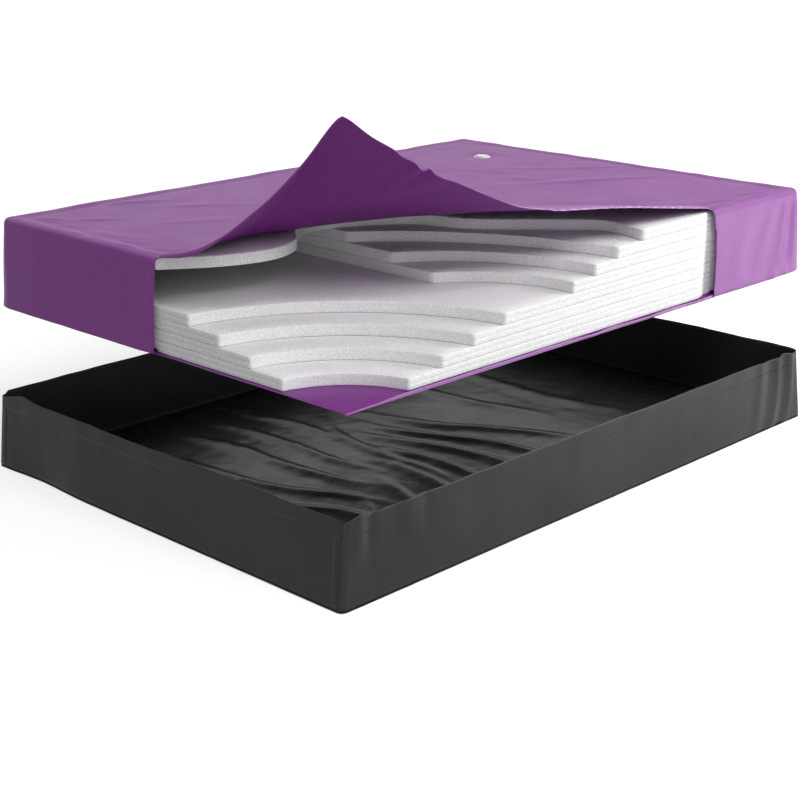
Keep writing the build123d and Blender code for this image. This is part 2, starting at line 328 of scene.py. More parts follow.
def vinyl(name, tones, roughness, specular):
    """Soft PVC sheet: an even tone, a fine pebbled emboss and faint handling marks."""
    surface = Surface(name, roughness, specular)
    surface.tint(tones, 3.0)
    pebble = node(surface.tree, "TexVoronoi", in_Scale=700.0, feature="SMOOTH_F1")
    wire(surface.tree, (surface.where, pebble.inputs["Vector"]))
    marks = surface.noise(9.0, 5.0, in_Distortion=0.6)
    surface.wear(marks, roughness - 0.05, roughness + 0.07)
    surface.bump((pebble.outputs["Distance"], 0.25, 0.0003), (marks, 0.12, 0.002))
    return surface.material


def fiber(name, tones):
    """Bonded polyester wadding: speckled felt with short fibers standing on the surface."""
    surface = Surface(name, 0.95, 0.1, sheen=0.15)
    surface.tint(tones, 300.0, detail=3.0, ends=(0.32, 0.62))
    stretch = node(surface.tree, "Mapping", in_Scale=(1.0, 1.0, 0.35))
    wire(surface.tree, (surface.where, stretch.inputs["Vector"]))
    strands = surface.noise(420.0, 2.0, stretch.outputs["Vector"], in_Distortion=1.2)
    surface.bump((strands, 0.5, 0.0012), (surface.noise(60.0, 3.0), 0.35, 0.002))
    return surface.material


def film(name, tones, roughness, specular):
    """Thin black vinyl film: glossy, with soft rubbed streaks."""
    surface = Surface(name, roughness, specular)
    surface.tint(tones, 2.2)
    surface.wear(surface.noise(5.0, 5.0), roughness - 0.06, roughness + 0.08)
    surface.bump((surface.noise(14.0, 4.0, in_Distortion=0.8), 0.25, 0.004))
    return surface.material


def plastic(name, tones, roughness):
    """Moulded plastic or rubber with a fine satin texture."""
    surface = Surface(name, roughness, 0.5)
    surface.tint(tones, 40.0)
    surface.bump((surface.noise(900.0, 2.0), 0.2, 0.0002))
    return surface.material


# Each with its dark and light tone in sRGB, then its roughness and specular level
outside_vinyl = vinyl("bladder_outside", ((119, 54, 129), (124, 58, 134)), 0.38, 0.14)
# Side walls: a paler copy of the vinyl whose tone is a haze of painted light; its higher specular level
# catches the real lamps.
side_vinyl_painted_light = vinyl("bladder_side_painted_light", ((119, 56, 129), (124, 60, 134)), 0.38, 0.28)
# Rolled rims: a lighter copy of the vinyl whose lighter tone is a painted highlight; its higher gloss
# stands for the glossy welded bead.
rim_vinyl_painted_highlight = vinyl("bladder_rim_painted_highlight", ((132, 70, 142), (138, 76, 148)), 0.26, 0.6)
# Inner faces: a darker copy of the vinyl, partly a matte inner finish and partly painted shade on the
# flap's underside.
inside_vinyl_painted_shade = vinyl("bladder_inside_painted_shade", ((110, 40, 120), (115, 44, 125)), 0.5, 0.15)
# Bottom sheet: a darker copy of the vinyl whose darker tone is painted shade.
sheet_vinyl_painted_shade = vinyl("bladder_bottom", ((112, 48, 122), (117, 52, 127)), 0.4, 0.2)
layer_fiber = fiber("fiber_wadding", ((196, 196, 196), (230, 230, 230)))
liner_film = film("liner_film", ((38, 38, 38), (48, 48, 49)), 0.32, 0.13)
floor_vinyl = film("liner_floor_film", ((26, 26, 26), (34, 34, 34)), 0.26, 0.32)
white_plastic = plastic("valve_white", ((214, 212, 216), (226, 224, 228)), 0.35)
black_rubber = plastic("washer_rubber", ((20, 20, 20), (30, 30, 30)), 0.6)


# Bladder: lines that top sheet, flap and walls follow

# Free edge of the flap, from the foot wall up to the tip and from there down to the right wall
left_edge = (
    (0.008, -1.0612, 0.7975), (0.05, -1.062, 0.8035), (0.111, -1.058, 0.814), (0.16, -1.05, 0.83),
    (0.2, -1.041, 0.849), (0.265, -1.023, 0.892), (0.324, -1.001, 0.942), (0.386, -0.973, 0.998),
    (0.438, -0.947, 1.055), (0.481, -0.922, 1.11), (0.527, -0.892, 1.184), (0.549, -0.878, 1.214),
    (0.56, -0.868, 1.223),
)
right_edge = (
    left_edge[-1], (0.569, -0.848, 1.212), (0.583, -0.786, 1.164), (0.599, -0.723, 1.124),
    (0.605, -0.699, 1.104), (0.614, -0.664, 1.086), (0.619, -0.641, 1.064), (0.623, -0.628, 1.062),
    (0.626, -0.614, 1.066), (0.632, -0.587, 1.046), (0.646, -0.523, 1.02), (0.663, -0.44, 0.982),
    (0.674, -0.382, 0.957), (0.685, -0.323, 0.933), (0.695, -0.263, 0.917), (0.704, -0.201, 0.906),
    (0.711, -0.158, 0.898), (0.732, 0.016, 0.882), (0.746, 0.158, 0.866), (0.754, 0.311, 0.8435),
    (0.757, 0.44, 0.8235), (0.7575, 0.515, 0.811), (0.7566, 0.555, 0.7975),
)

# Points that part the free edge into one stretch for each station of the fold
edge_points = (
    left_edge[0], (0.034, -1.062, 0.801), (0.2, -1.041, 0.85), (0.324, -1.001, 0.942),
    (0.438, -0.947, 1.055), left_edge[-1], (0.626, -0.614, 1.066), (0.667, -0.416, 0.97),
    (0.7, -0.214, 0.908), (0.729, 0.0, 0.883), (0.749, 0.181, 0.862), (0.755, 0.352, 0.832),
    (0.7575, 0.5, 0.8135), right_edge[-1],
)

# Fold line in plan, as shares of the cut, with its start and end on the rolled edges
fold_shares = (
    (0.0105, 0.0147), (0.0, 0.034), (-0.02, 0.079), (-0.055, 0.144), (-0.068, 0.203), (-0.062, 0.249),
    (-0.05, 0.34), (-0.04, 0.432), (0.01, 0.536), (0.12, 0.654), (0.29, 0.779), (0.56, 0.896),
    (0.88, 0.98), (0.9685, 0.9945),
)
tip_station = 5
last_station = len(fold_shares) - 1
kink_station = 6.2

# Where the cuts in the two walls meet the rolled edge, and the columns' spacing
foot_cut_x = left_edge[0][0]
right_cut_y = right_edge[-1][1]
column_step = 0.0135
right_column_step = 0.008
corner_columns = 14


def in_cut(x_share, y_share):
    """Place in plan of a point given in shares of the cut."""
    return (foot_wall_end + x_share * cut_width, y_share * cut_length - half_length)


def outer_line():
    """Where the top sheet starts to roll over, from the foot wall's cut round to the right wall's."""
    in_x, in_y = flat_x - small_corner, flat_y - small_corner
    return np.array([
        *straight((foot_cut_x, -flat_y), (-in_x, -flat_y), (0, -1), column_step),
        *turned((-in_x, -in_y), small_corner, 270, 180, corner_columns),
        *straight((-flat_x, -in_y), (-flat_x, in_y), (-1, 0), column_step),
        *turned((-in_x, in_y), small_corner, 180, 90, corner_columns),
        *straight((-in_x, flat_y), (in_x, flat_y), (0, 1), column_step),
        *turned((in_x, in_y), small_corner, 90, 0, corner_columns),
        *straight((flat_x, in_y), (flat_x, right_cut_y), (1, 0), right_column_step),
        (flat_x, right_cut_y, 1, 0),
    ])


def edge_at(stations):
    """Free edge of the flap at each station."""
    out = np.zeros((len(stations), 3))
    for edge, first, last, chosen in (
        (left_edge, 0, tip_station, stations <= tip_station),
        (right_edge, tip_station, last_station, stations > tip_station),
    ):
        line = spline(edge, 12)
        along = lengths(line)
        marks = [nearest_length(line, along, p) for p in edge_points[first:last + 1]]
        out[chosen] = at_length(line, along, np.interp(stations[chosen], range(first, last + 1), marks))
    return out


boundary = outer_line()
column_count = len(boundary)
boundary_along = lengths(boundary[:, :2])
column_share = boundary_along / boundary_along[-1]

fold_line = spline([in_cut(*s) for s in fold_shares], 24)
fold_line[0] = boundary[0, :2]
fold_line[-1] = boundary[-1, :2]
fold_stations = np.linspace(0, last_station, len(fold_line))
fold_along = lengths(fold_line)
column_station = np.interp(column_share, fold_along / fold_along[-1], fold_stations)
column_station[int(np.argmin(np.abs(column_station - tip_station)))] = tip_station
column_fold = at_length(fold_line, fold_stations, column_station)
column_edge = edge_at(column_station)


# Bladder: rolled edges and the flap

flap_rows = 44
roll_rows = 12
sheet_rows = 60
crowding = 0.12  # how much closer the rows of the top sheet lie at its ends
wall_rows = 22
foot_rows = 6
under_rows = 4
start_angle = pi / 4  # how far the lip is rolled where it leaves the walls' rolled edge
lip_turn = 1.75  # how far it is rolled between there and the kink
lip_turn_loss = 0.45  # by how much less it is rolled past the kink
roll_power = 0.62  # how square the rolled edges are; at 1 they are round
least_rise = 0.0004
least_reach = 0.0008
weld_distance = 0.00004

# Stretches of stations over which things fade out towards the walls' cuts
lip_fade = 1.7
bend_fade = 0.6
rim_fade = 0.12


def roll_point(angle):
    """Place on the rolled edge, out of its start and down: squarer than a quarter of a circle."""
    upright = max(0.0, cos(angle)) ** roll_power
    return (edge_radius * sin(angle) ** roll_power, edge_radius * (1 - upright))


def end_fade(station, length):
    """0 where the lip runs into a rolled edge, 1 away from both ends."""
    return smooth(0, length, station) * smooth(0, length, last_station - station)


def lip_size(station):
    """Radius of the rim that is left of the rolled edge, on the flap's free edge."""
    if station <= tip_station:
        return 0.003 + 0.015 * (1 - smooth(0, 3.2, station))
    return 0.0022 + 0.0078 * smooth(6.9, 8.6, station) + 0.008 * smooth(10.6, last_station, station)


def flap_column(column):
    """Points from the free edge's rim down to the fold, and the flap's up direction at each."""
    fold_x, fold_y = column_fold[column]
    edge = column_edge[column]
    station = column_station[column]
    radius = lip_size(station)
    full_angle = lip_turn - lip_turn_loss * smooth(kink_station, kink_station + 1, station)
    lip_angle = start_angle + (full_angle - start_angle) * end_fade(station, lip_fade)
    at_end = column in (0, column_count - 1)
    if at_end:
        ux, uy = boundary[column, 2:]
        reach = rise = arc = run = sweep = 0.0
        big = 1.0
    else:
        reach = hypot(edge[0] - fold_x, edge[1] - fold_y)
        ux, uy = (edge[0] - fold_x) / reach, (edge[1] - fold_y) / reach
        rise = max(edge[2] + radius * (1 - cos(lip_angle)) - mattress_top, least_rise)
        reach = max(reach - radius * sin(min(lip_angle, pi / 2)), least_reach)
        big = fold_radius_share * (reach * reach + rise * rise) / (2 * rise)
        sweep = atan2(reach, big - rise) - acos(min(1.0, big / hypot(reach, big - rise)))
        arc = big * sweep
        run = hypot(reach - big * sin(sweep), rise - big + big * cos(sweep))
    points = []
    for k in range(roll_rows, 0, -1):
        a = lip_angle * k / roll_rows
        out, down = roll_point(a) if at_end else (radius * sin(a), radius * (1 - cos(a)))
        h = reach + out * cos(sweep) + down * sin(sweep)
        z = rise + out * sin(sweep) - down * cos(sweep)
        points.append((h, z, sweep - a, 1.0))
    for k in range(flap_rows + 1):
        share = 1 - k / flap_rows
        s = share * (arc + run)
        a, past = (s / big, 0.0) if s < arc else (sweep, s - arc)
        h = big * sin(a) + past * cos(a)
        z = big - big * cos(a) + past * sin(a)
        points.append((h, z, a, share))
    verts = [(fold_x + ux * h, fold_y + uy * h, mattress_top + z, share) for h, z, a, share in points]
    normals = [(-ux * sin(a), -uy * sin(a), cos(a)) for h, z, a, share in points]
    return verts, normals


# Bladder: soft shapes of its surfaces

# Long soft ridges on the top sheet: start, end, height and half width
top_ridges = (
    ((0.05, 0.49), (0.3, 0.93), 0.005, 0.022),
    ((-0.1, 0.52), (0.06, 0.6), 0.003, 0.016),
    ((-0.26, 0.6), (-0.04, 0.82), 0.0036, 0.02),
    ((-0.05, 0.8), (0.06, 0.96), 0.003, 0.018),
    ((-0.32, 0.5), (-0.1, 0.66), 0.0026, 0.018),
    ((-0.56, -0.93), (-0.47, -0.82), 0.0034, 0.016),
    ((-0.7, -0.72), (-0.6, -0.55), 0.004, 0.02),
    ((-0.52, -0.6), (-0.38, -0.42), 0.003, 0.022),
    ((-0.66, -0.98), (-0.58, -0.94), 0.0034, 0.014),
    ((-0.33, -0.78), (-0.24, -0.6), 0.0028, 0.024),
    ((-0.68, 0.99), (-0.58, 1.03), 0.004, 0.014),
)

# Bands of the flap that swing from the kink: start and end in station and share, height and half width
flap_bands = (
    ((5.95, 0.98), (4.8, 0.5), 0.009, 0.19),
    ((6.2, 0.95), (5.4, 0.33), -0.008, 0.17),
    ((5.5, 0.8), (4.0, 0.4), 0.005, 0.17),
)

# Folds of the right wall, fanning from its far top corner: place at top and bottom, height, half width
right_wall_folds = (
    (1.034, 1.026, 0.0045, 0.012),
    (1.01, 0.978, -0.003, 0.014),
    (0.984, 0.92, 0.0034, 0.016),
    (0.955, 0.85, -0.0022, 0.02),
    (0.92, 0.78, 0.0024, 0.028),
    (0.86, 0.7, -0.0018, 0.034),
    (0.76, 0.66, 0.0016, 0.036),
)

# Small dents by the bottom of the right wall: place, depth below the top, height, half width, half depth
right_wall_dents = (
    (0.905, 0.262, 0.005, 0.024, 0.014),
    (0.938, 0.252, -0.0038, 0.016, 0.014),
    (0.72, 0.24, 0.0022, 0.04, 0.024),
    (0.985, 0.262, 0.003, 0.014, 0.014),
)

# Hump and hollow of the top sheet beside its edge: distance from the edge, height and half width
edge_welt = ((0.03, 0.0042, 0.014), (0.062, -0.0014, 0.018))

scallop_pitch = 0.042
side_facing = 0.7  # a wall whose direction has more than this along x is the left or the right one
valve_clearing = (0.03, 0.09)  # between these distances from the valve the sheet leaves its flat place
wall_flare = 0.011  # by which the walls lean out at the bottom
foot_flare = 0.002  # more, by the bottom rim
corner_square_share = 0.6  # how square the upright corners are at the bottom
bottom_radius = 0.007
rim_droop = 0.0046  # by which the welded rim hangs below the bottom sheet
most_droop = 0.008


def ridge_height(x, y, ridges):
    """Height of a set of straight soft ridges at a point."""
    total = 0.0
    for start, end, height, half in ridges:
        t, away = beside(x, y, start, end)
        if -0.5 < t < 1.5 and abs(away) < 4 * half:
            total += height * bell(away, 0, half) * bell(t, 0.5, 0.55)
    return total


def top_bulge(x, y):
    """How far the top sheet stands above its flat place, which is never below it."""
    inset = min(half_width - abs(x), half_length - abs(y))
    soft = 0.0022 * (1 + wave(x, y, 0, 0.42, 1)) + 0.0011 * (1 + wave(x, y * 0.6, 0, 0.11, 2))
    soft *= 0.35 + 0.65 * smooth(0, 0.1, inset)
    welt = bells(inset, edge_welt) * (0.75 + 0.5 * wave(x, y, 0, 0.16, 9))
    off_valve = smooth(*valve_clearing, dist((x, y), valve_center))
    return (soft + welt + ridge_height(x, y, top_ridges)) * off_valve


def flap_bend(station, share, point):
    """How far the flap stands out along its own upper side."""
    push = 0.0
    for start, end, height, half in flap_bands:
        t, away = beside(station, share, start, end)
        push += height * bell(away, 0, half) * smooth(-0.35, 0.1, t) * (1 - smooth(0.8, 1.3, t))
    return push + 0.003 * wave(*point, 0.22, 5) * smooth(0, 0.3, share)


def scallop(station, share, y):
    """Ripple of the gathered rim along the right side of the flap."""
    if share < 1.0:
        return 0.0
    swell = smooth(7.6, 8.4, station) * (1 - smooth(11.8, 12.6, station))
    height = 0.0009 + 0.0009 * wave(0, y, 0, 0.11, 14)
    return height * sin(2 * pi * (y + 0.004 * wave(0, y, 0, 0.09, 15)) / scallop_pitch) * swell


def wall_bulge(x, y, drop, nx):
    """How far a wall stands out of its flat place at a depth below the top."""
    depth = min(1.0, max(0.0, drop / mattress_height))
    middle = sin(pi * depth)
    push = 0.0022 * middle * (1 + wave(x, y, drop * 0.4, 0.35, 3))
    push += 0.0012 * wave(x, y, drop * 0.25, 0.07, 4) * middle
    if nx > side_facing:
        for top, bottom, height, half in right_wall_folds:
            fold = height * bell(y, top + (bottom - top) * depth, half * (0.6 + 0.8 * depth))
            push += fold * smooth(0, 0.05, drop) * middle ** 0.5
        for place, level, height, half, half_depth in right_wall_dents:
            push += height * bell(y, place, half) * bell(drop, level, half_depth)
    return push


def edge_wobble(x, y):
    """Height by which the rolled rim rises and falls along the walls."""
    return 0.003 * wave(x, y, 0, 0.2, 6) + 0.002 * wave(x, y, 0, 0.075, 7)


def foot_droop(x, y):
    """How far the welded bottom rim hangs down at a place along the walls."""
    droop = rim_droop + 0.0016 * wave(x, y, 0.4, 0.22, 8) + 0.0009 * wave(x, y, 0.4, 0.08, 9)
    if y < -half_length + 0.1:
        droop += 0.003 * (1 - smooth(-0.75, -0.1, x)) + 0.0012 * bell(x, -0.13, 0.1)
        droop -= 0.003 * smooth(-0.1, 0.0, x)
    return min(most_droop, droop)


def wall_out(nx, ny, share):
    """How far a wall stands out of the start of its roll, at a share of its height from the top."""
    square = 1 / max(abs(nx), abs(ny)) - 1
    out = edge_radius + wall_flare * share + foot_flare * smooth(0.85, 1.0, share)
    return out + (small_corner + edge_radius) * corner_square_share * square * share


def cut_shift(column, share):
    """Small sideways lean of the walls' cut ends, along x or y."""
    if column == 0:
        return (-0.007 * smooth(0, 1.0, share), 0.0)
    if column == column_count - 1:
        return (0.0, 0.012 * sin(pi * share) + 0.004 * share)
    return (0.0, 0.0)


# Bladder: top sheet, flap and walls as one skin

def wall_column(column, rim):
    """Points from the rolled top edge down the wall and in to the bottom sheet, for one column."""
    bx, by, nx, ny = boundary[column]
    fade = end_fade(column_station[column], rim_fade)
    rim *= fade
    low = mattress_raised - foot_droop(bx, by)
    high = mattress_top - edge_radius
    line = []

    def add(out, z, shift=(0.0, 0.0)):
        line.append((bx + nx * out + shift[0], by + ny * out + shift[1], z))

    for k in range(1, roll_rows + 1):
        out, down = roll_point(pi / 2 * k / roll_rows)
        out += wall_bulge(bx, by, down, nx) * smooth(0, edge_radius, down) * fade
        add(out, mattress_top - down + rim * (1 - 0.75 * k / roll_rows))
    for k in range(1, wall_rows + 1):
        t = k / wall_rows
        z = high + (low + bottom_radius - high) * t
        drop = mattress_top - z
        out = wall_out(nx, ny, t) + wall_bulge(bx, by, drop, nx) * max(fade, smooth(0, 0.2, t))
        shift = cut_shift(column, drop / (mattress_top - low))
        add(out, z + rim * 0.25 * (1 - smooth(0, 0.4, t)), shift)
    foot = wall_out(nx, ny, 1.0) + wall_bulge(bx, by, mattress_top - low - bottom_radius, nx)
    shift = cut_shift(column, 1.0)
    for k in range(1, foot_rows + 1):
        a = pi / 2 * k / foot_rows
        z = low + bottom_radius - bottom_radius * sin(a)
        add(foot - bottom_radius * (1 - cos(a)), z, shift)
    for k in range(1, under_rows + 1):
        t = k / under_rows
        add((foot - bottom_radius) * (1 - t), low + (mattress_raised - low) * smooth(0, 1.0, t), shift)
    return line


def sheet_column(column):
    """Points from the fold to the start of the wall's roll: x, y and height above the flat sheet."""
    bx, by = boundary[column, :2]
    fold_x, fold_y = column_fold[column]
    fade = end_fade(column_station[column], rim_fade)
    line = []
    for k in range(1, sheet_rows + 1):
        t = k / sheet_rows
        t -= crowding * sin(2 * pi * t) / (2 * pi)
        x, y = fold_x + (bx - fold_x) * t, fold_y + (by - fold_y) * t
        inset = min(half_width - abs(x), half_length - abs(y)) - edge_radius
        near_edge = 1 - smooth(0, 0.16, inset)
        line.append((x, y, (top_bulge(x, y) + edge_wobble(bx, by) * near_edge * 0.8) * fade))
    return line


def shell_slot(column, row, first_wall_row):
    """Material of a face: the side walls, in the paler copy of the vinyl whose tone holds painted light;
    the flap's rim past the kink, in the lighter copy with a painted highlight; or the outside.
    """
    if row >= first_wall_row and abs(boundary[column, 2]) > side_facing:
        return 3
    if row < roll_rows and column_station[column] > kink_station:
        return 2
    return 0


def build_shell():
    """The whole skin, a column of points for each place along the walls."""
    verts = []
    for column in range(column_count):
        station = column_station[column]
        fade = end_fade(station, bend_fade)
        for (x, y, z, share), (nx, ny, nz) in zip(*flap_column(column)):
            lift = top_bulge(x, y) * (1 - smooth(0, 0.25, share))
            push = (flap_bend(station, share, (x, y, z)) + scallop(station, share, y)) * fade
            verts.append((x + nx * push, y + ny * push, z + nz * push + lift * fade))
        sheet = sheet_column(column)
        verts += [(x, y, mattress_top + height) for x, y, height in sheet]
        verts += wall_column(column, sheet[-1][2])
    count = len(verts) // column_count
    first_wall_row = count - (roll_rows + wall_rows + foot_rows + under_rows) - 1
    slots = [shell_slot(c, r, first_wall_row) for c in range(column_count - 1) for r in range(count - 1)]
    faces = grid_faces(column_count, count, flip=True)
    materials = [outside_vinyl, inside_vinyl_painted_shade, rim_vinyl_painted_highlight, side_vinyl_painted_light]
    obj = make_object("bladder_shell", verts, faces, materials, slots)
    weld(obj, weld_distance)
    # The inner faces take the darker inner copy of the vinyl, partly painted shade.
    thicken(obj, vinyl_thickness, -1.0, inner_material=1, even=False)
    return obj


shell = build_shell()
dress(
    shell, "mattress", "bladder_vinyl", "bladder_top_sheet", "bladder_top_flap", "bladder_foot_wall",
    "bladder_left_wall", "bladder_head_wall", "bladder_right_wall",
)


# Bladder: bottom sheet, with its rim turned up along the cut right side

rim_x = 0.771  # where the rim turns up
rim_columns = (0.748, 0.756, 0.764, rim_x)
foot_rim_rows = (-1.0725, -1.066, -1.06, -1.052)
rim_width = 0.034
lip_rows = 8
lip_height = 0.0105

# Places where the turned-up rim swings out: place along it, how far and half width
lip_swells = ((-0.06, 0.0085, 0.045), (0.19, 0.008, 0.09), (0.47, 0.006, 0.05))


def lip_profile(y):
    """The turned-up rim at one place along it: rows of x and height above the sheet."""
    out = bells(y, lip_swells) + 0.0012 * (1 + wave(0, y, 0, 0.09, 11))
    tall = lip_height + 0.0016 * wave(0, y, 0, 0.13, 12)
    tall *= smooth(-half_length - 0.002, -half_length + 0.2, y) * 0.9 + 0.1
    turns = [pi / 2 * k / lip_rows for k in range(1, lip_rows + 1)]
    return [(rim_x + out * sin(a) ** 0.8, tall * (1 - cos(a)) - rim_droop) for a in turns]


def bottom_point(x, y):
    """A point of the bottom sheet, pulled in at the round corners and hanging down at the cut sides."""
    if not (x > foot_wall_end and y < right_wall_end):
        for sx, sy in ((-1, -1), (-1, 1), (1, 1)):
            cx, cy = sx * (flat_x - small_corner), sy * (flat_y - small_corner)
            d = hypot(x - cx, y - cy)
            if (x - cx) * sx > 0 and (y - cy) * sy > 0 and d > small_corner:
                x, y = cx + (x - cx) * small_corner / d, cy + (y - cy) * small_corner / d
    past = max(x - flat_x, -flat_y - y, 0.0)
    return (x, y, mattress_raised - foot_droop(x, y) * smooth(0, rim_width, past))


def in_bottom(x, y):
    """Whether the bottom sheet has a cell with its middle here."""
    if x > flat_x:
        return y < right_wall_end
    return y >= -flat_y or x > foot_wall_end


def build_bottom():
    """The bottom sheet as a grid of cells, and the turned-up rim as rows beside its last column."""
    xs = [*np.linspace(-flat_x, foot_wall_end, 32), *np.linspace(foot_wall_end, flat_x, 32)[1:]]
    xs += rim_columns
    ys = [*foot_rim_rows, *np.linspace(-flat_y, right_wall_end, 130)]
    ys += [*np.linspace(right_wall_end, flat_y, 24)[1:]]
    numbers = {}
    verts, faces = [], []
    for i in range(len(xs) - 1):
        for j in range(len(ys) - 1):
            if not in_bottom((xs[i] + xs[i + 1]) / 2, (ys[j] + ys[j + 1]) / 2):
                continue
            cell = ((i, j), (i + 1, j), (i + 1, j + 1), (i, j + 1))
            for a, b in cell:
                if (a, b) not in numbers:
                    numbers[(a, b)] = len(verts)
                    verts.append(bottom_point(xs[a], ys[b]))
            faces.append(tuple(numbers[corner] for corner in cell))
    slots = [0] * len(faces)
    side = [j for j in range(len(ys)) if ys[j] <= right_wall_end + 1e-6]
    previous = [numbers[(len(xs) - 1, j)] for j in side]
    profiles = [lip_profile(ys[j]) for j in side]
    for k in range(lip_rows):
        current = list(range(len(verts), len(verts) + len(side)))
        for j, profile in zip(side, profiles):
            verts.append((profile[k][0], ys[j], mattress_raised + profile[k][1]))
        for a in range(len(side) - 1):
            faces.append((previous[a], current[a], current[a + 1], previous[a + 1]))
            slots.append(2)
        previous = current
    # Slot 0, the bottom sheet, has the darker copy of the vinyl with painted shade; slot 2, the
    # turned-up rim, has the lighter copy with a painted highlight.
    obj = make_object("bladder_bottom", verts, faces, [sheet_vinyl_painted_shade, inside_vinyl_painted_shade, rim_vinyl_painted_highlight], slots)
    thicken(obj, vinyl_thickness, 1.0)
    return obj


bottom = build_bottom()
dress(bottom, "mattress", "bladder_vinyl", "bladder_bottom_sheet")


# Lap strips at the corners of the mattress

strip_columns = 4
strip_rows = 14
strip_low = mattress_raised + edge_radius + 0.004
strip_high = mattress_top - edge_radius
strip_out = half_width - corner_radius
strip_in = strip_out - lap_width


def lap_strips(name, strips, rows, thickness, material):
    """Thin strips on walls, each with its start and end in plan, its low and high, and its push out."""
    verts, faces = [], []
    for (x0, y0), (x1, y1), low, high, push in strips:
        first = len(verts)
        for r in range(rows + 1):
            z = low + (high - low) * r / rows
            for c in range(strip_columns + 1):
                t = c / strip_columns
                verts.append(push(x0 + (x1 - x0) * t, y0 + (y1 - y0) * t, z))
        faces += [tuple(first + i for i in f) for f in grid_faces(rows + 1, strip_columns + 1)]
    obj = make_object(name, verts, faces, [material])
    thicken(obj, thickness, 0.0)
    return obj


def on_mattress(sign):
    """How a strip follows the foot wall, where sign is -1, or the head wall, where it is 1."""
    def push(x, y, z):
        out = wall_bulge(x, y, mattress_top - z, 0) + lap_thickness * 0.6
        return (x, y + sign * out, z)
    return push


lap_ends = ((-strip_out, -strip_in, -1), (-strip_out, -strip_in, 1), (strip_in, strip_out, 1))
strips = [
    ((x0, sign * half_length), (x1, sign * half_length), strip_low, strip_high, on_mattress(sign))
    for x0, x1, sign in lap_ends
]
mattress_laps = lap_strips("bladder_laps", strips, strip_rows, lap_thickness * 0.8, outside_vinyl)
dress(mattress_laps, "mattress", "bladder_vinyl", "bladder_corner_laps")


# Fiber layers: outlines

layer_gap = 0.0004
outline_step = 0.012
least_step = 0.0006
shortest_run = 0.0015
grooved_run = 0.2  # a straight run that is longer than this has points for the grooves
outside_margin = 0.001  # how near the outside a point counts as on it

# Upright stitched grooves in the outside of the layers
groove_pitch = 0.095
groove_start = 0.0275
groove_half = 0.0026
groove_depth = 0.0011


def fiber_ring():
    """Outside of the full layers from the right round to the foot, as (x, y) points."""
    small = corner_radius - fiber_setback
    in_x, in_y = fiber_half_x - small, fiber_half_y - small
    points = []
    for center, start in (((in_x, in_y), 0), ((-in_x, in_y), 90), ((-in_x, -in_y), 180)):
        points += [row[:2] for row in turned(center, small, start, start + 90, 6, with_end=True)]
    return points


def circle_arc(start, middle, end, count):
    """Points on the circle through three points."""
    (ax, ay), (bx, by), (cx, cy) = start, middle, end
    aa, bb, cc = ax ** 2 + ay ** 2, bx ** 2 + by ** 2, cx ** 2 + cy ** 2
    d = 2 * (ax * (by - cy) + bx * (cy - ay) + cx * (ay - by))
    ux = (aa * (by - cy) + bb * (cy - ay) + cc * (ay - by)) / d
    uy = (aa * (cx - bx) + bb * (ax - cx) + cc * (bx - ax)) / d
    radius = hypot(ax - ux, ay - uy)
    first, between, last = (atan2(p[1] - uy, p[0] - ux) for p in (start, middle, end))
    turn = (last - first) % (2 * pi)
    if not 0 < (between - first) % (2 * pi) < turn:
        turn -= 2 * pi
    angles = [first + turn * k / count for k in range(count + 1)]
    return [(ux + radius * cos(a), uy + radius * sin(a)) for a in angles]


def lower_cut(index):
    """Quarter-round cut of a layer in the lower stack."""
    radius = first_arc_radius + index * arc_step
    middle = lower_arc_middle_share * radius / sqrt(2)
    return circle_arc(
        (half_width - radius, -half_length), (half_width - middle, -half_length + middle),
        (half_width, -half_length + radius), 40 + 12 * index,
    )


def upper_outline(index):
    """Outline of a layer in the upper stack: its straight front, its arc and the outside behind."""
    left_x, middle_x, middle_y, right_y = upper_arc_shares[index]
    open_length = cut_length - upper_stack_setback
    start = (foot_wall_end + left_x * cut_width, upper_stack_front)
    middle = (foot_wall_end + middle_x * cut_width, upper_stack_front + middle_y * open_length)
    end = (half_width, upper_stack_front + right_y * open_length)
    arc = [p for p in circle_arc(start, middle, end, 50) if p[0] < fiber_half_x]
    front = [(-fiber_half_x + (start[0] + fiber_half_x) * k / 50, upper_stack_front) for k in range(50)]
    behind = [p for p in fiber_ring() if p[1] > upper_stack_front]
    return [*front, *arc, (fiber_half_x, arc[-1][1]), *behind]


def layer_outline(index):
    """Outline of one layer: the cut line first, then round the outside."""
    upper = index - lower_layer_count
    if 0 <= upper < len(upper_arc_shares):
        return upper_outline(upper)
    if upper < 0:
        cut = lower_cut(index)
    else:
        start = (foot_wall_end + top_layer_foot_share * cut_width, -half_length)
        end = (half_width, top_layer_right_share * cut_length - half_length)
        cut = [tuple(p) for p in spline([start, *[in_cut(*s) for s in top_layer_shares], end], 12)]
    cut = [p for p in cut if p[0] < fiber_half_x and p[1] > -fiber_half_y]
    return [(cut[0][0], -fiber_half_y), *cut, (fiber_half_x, cut[-1][1]), *fiber_ring()]


